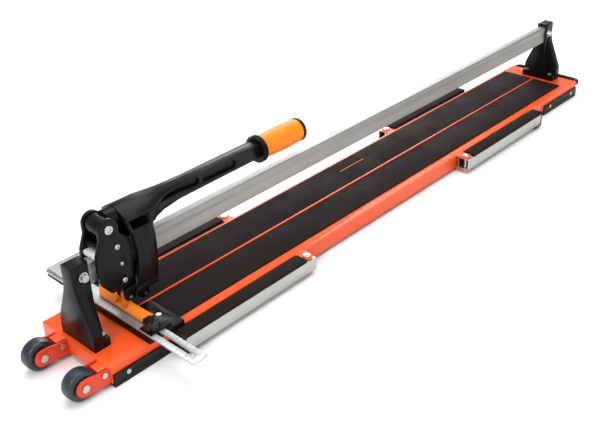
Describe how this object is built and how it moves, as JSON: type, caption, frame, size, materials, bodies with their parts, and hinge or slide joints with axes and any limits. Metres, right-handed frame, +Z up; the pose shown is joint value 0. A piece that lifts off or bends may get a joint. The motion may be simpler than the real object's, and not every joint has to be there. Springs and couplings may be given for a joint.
{
  "type": "tile cutter",
  "caption": "Hand-pushed monorail tile cutter: folded bed with rubber deck, posts and rail, sliding carriage with scoring and breaking lever, rule with side stop, swing-out supports, wheels.",
  "frame": {"origin": "on the floor under the middle of the overall bounding box", "axes": "+X along the rail from the transport wheels to the carry handle, +Y towards the far side, +Z up"},
  "size_m": [1.4712, 0.364, 0.2291],
  "materials": {
    "orange_paint": "semi-gloss orange powder coat",
    "amber_paint": "semi-gloss amber powder coat",
    "fork_paint": "semi-gloss deep orange powder coat",
    "black_cast": "satin black powder coat on cast aluminium",
    "black_steel": "satin black paint",
    "deck_rubber": "matt moulded rubber",
    "foot_plastic": "fine-grained black plastic",
    "rail_aluminium": "mill-finish extrusion",
    "arm_aluminium": "mill-finish extrusion",
    "rule_aluminium": "satin anodised, graduated",
    "zinc": "bright zinc plate",
    "wheel_rubber": "moulded rubber",
    "roller_steel": "ground steel",
    "slide_nylon": "off-white nylon",
    "grip_plastic": "soft-gloss amber grip",
    "knob_plastic": "fine-grained black plastic",
    "carbide": "ground carbide"
  },
  "bodies": {
    "base": {"base_tray": "orange_paint", "deck_pad_near": "deck_rubber", "deck_pad_far": "deck_rubber", "corner_foot_front_near": "foot_plastic", "corner_foot_front_far": "foot_plastic", "corner_foot_rear_near": "foot_plastic", "corner_foot_rear_far": "foot_plastic", "foot_screws": "zinc", "front_post": "black_cast", "rear_post": "black_cast", "post_bolts": "zinc", "guide_rail": "rail_aluminium", "rail_bolts": "zinc", "rule_bearer": "black_steel", "graduated_rule": "rule_aluminium", "far_square": "rule_aluminium", "far_square_spacer": "black_steel", "wheel_fork_near": "fork_paint", "wheel_fork_far": "fork_paint", "wheel_bolts": "zinc", "carry_handle": "black_steel", "arm_pivot_bolts": "zinc"},
    "wheel_near": {"transport_wheel_near": "wheel_rubber"},
    "wheel_far": {"transport_wheel_far": "wheel_rubber"},
    "stop": {"side_stop": "black_steel", "stop_screw": "zinc", "stop_nut": "black_steel"},
    "knob": {"stop_knob": "knob_plastic", "stop_clamp_screw": "zinc"},
    "carriage": {"carriage_plate_near": "black_cast", "carriage_plate_far": "black_cast", "pivot_bolt": "zinc", "roller_axles": "zinc", "front_spacer": "black_cast", "slide_shoes": "slide_nylon", "adjuster_screws": "zinc"},
    "roller_top": {"top_roller": "roller_steel"},
    "roller_low": {"low_roller": "roller_steel"},
    "handle": {"lever": "black_cast", "lever_collar": "black_cast", "grip": "grip_plastic", "grip_cap": "foot_plastic", "cutter_head": "black_cast", "cutter_axle": "zinc", "breaker_pin": "zinc"},
    "cutting_wheel": {"cutting_wheel": "carbide"},
    "breaker": {"breaker_foot": "amber_paint"},
    "arm_front_near": {"support_arm_front_near": "arm_aluminium", "arm_pad_front_near": "deck_rubber", "arm_cap_front_near": "foot_plastic"},
    "arm_front_far": {"support_arm_front_far": "arm_aluminium", "arm_pad_front_far": "deck_rubber", "arm_cap_front_far": "foot_plastic"},
    "arm_rear_near": {"support_arm_rear_near": "arm_aluminium", "arm_pad_rear_near": "deck_rubber", "arm_cap_rear_near": "foot_plastic"},
    "arm_rear_far": {"support_arm_rear_far": "arm_aluminium", "arm_pad_rear_far": "deck_rubber", "arm_cap_rear_far": "foot_plastic"}
  },
  "joints": [
    {"name": "carriage_slide", "type": "slide", "parent": "base", "child": "carriage", "axis": [1, 0, 0], "range_m": [0, 1.15]},
    {"name": "lever_hinge", "type": "hinge", "parent": "carriage", "child": "handle", "pos_m": [-0.5954, 0, 0.2071], "axis": [0, -1, 0], "range_deg": [0, 20]},
    {"name": "cutting_wheel_spin", "type": "hinge", "parent": "handle", "child": "cutting_wheel", "pos_m": [-0.5374, 0, 0.061], "axis": [0, 1, 0], "continuous": true},
    {"name": "breaker_tilt", "type": "hinge", "parent": "handle", "child": "breaker", "pos_m": [-0.5684, 0, 0.073], "axis": [0, -1, 0], "range_deg": [-8, 8]},
    {"name": "top_roller_spin", "type": "hinge", "parent": "carriage", "child": "roller_top", "pos_m": [-0.5844, 0, 0.17305], "axis": [0, 1, 0], "continuous": true},
    {"name": "low_roller_spin", "type": "hinge", "parent": "carriage", "child": "roller_low", "pos_m": [-0.5794, 0, 0.11325], "axis": [0, 1, 0], "continuous": true},
    {"name": "wheel_near_spin", "type": "hinge", "parent": "base", "child": "wheel_near", "pos_m": [-0.7111, -0.067, 0.0254], "axis": [0, 1, 0], "continuous": true},
    {"name": "wheel_far_spin", "type": "hinge", "parent": "base", "child": "wheel_far", "pos_m": [-0.7111, 0.035, 0.0254], "axis": [0, 1, 0], "continuous": true},
    {"name": "stop_slide", "type": "slide", "parent": "base", "child": "stop", "axis": [0, -1, 0], "range_m": [0, 0.08]},
    {"name": "knob_turn", "type": "hinge", "parent": "stop", "child": "knob", "pos_m": [-0.5814, -0.075, 0.055], "axis": [0, 0, 1], "continuous": true},
    {"name": "arm_front_near_swing", "type": "hinge", "parent": "base", "child": "arm_front_near", "pos_m": [-0.2704, -0.102, 0.02], "axis": [0, 0, 1], "range_deg": [0, 90]},
    {"name": "arm_front_far_swing", "type": "hinge", "parent": "base", "child": "arm_front_far", "pos_m": [-0.2704, 0.102, 0.02], "axis": [0, 0, -1], "range_deg": [0, 90]},
    {"name": "arm_rear_near_swing", "type": "hinge", "parent": "base", "child": "arm_rear_near", "pos_m": [0.2146, -0.102, 0.02], "axis": [0, 0, -1], "range_deg": [0, 90]},
    {"name": "arm_rear_far_swing", "type": "hinge", "parent": "base", "child": "arm_rear_far", "pos_m": [0.2146, 0.102, 0.02], "axis": [0, 0, 1], "range_deg": [0, 90]}
  ],
  "couplings": [
    {"joint": "top_roller_spin", "follows": "carriage_slide", "rad_per_m": 95.238},
    {"joint": "low_roller_spin", "follows": "carriage_slide", "rad_per_m": -76.923}
  ]
}
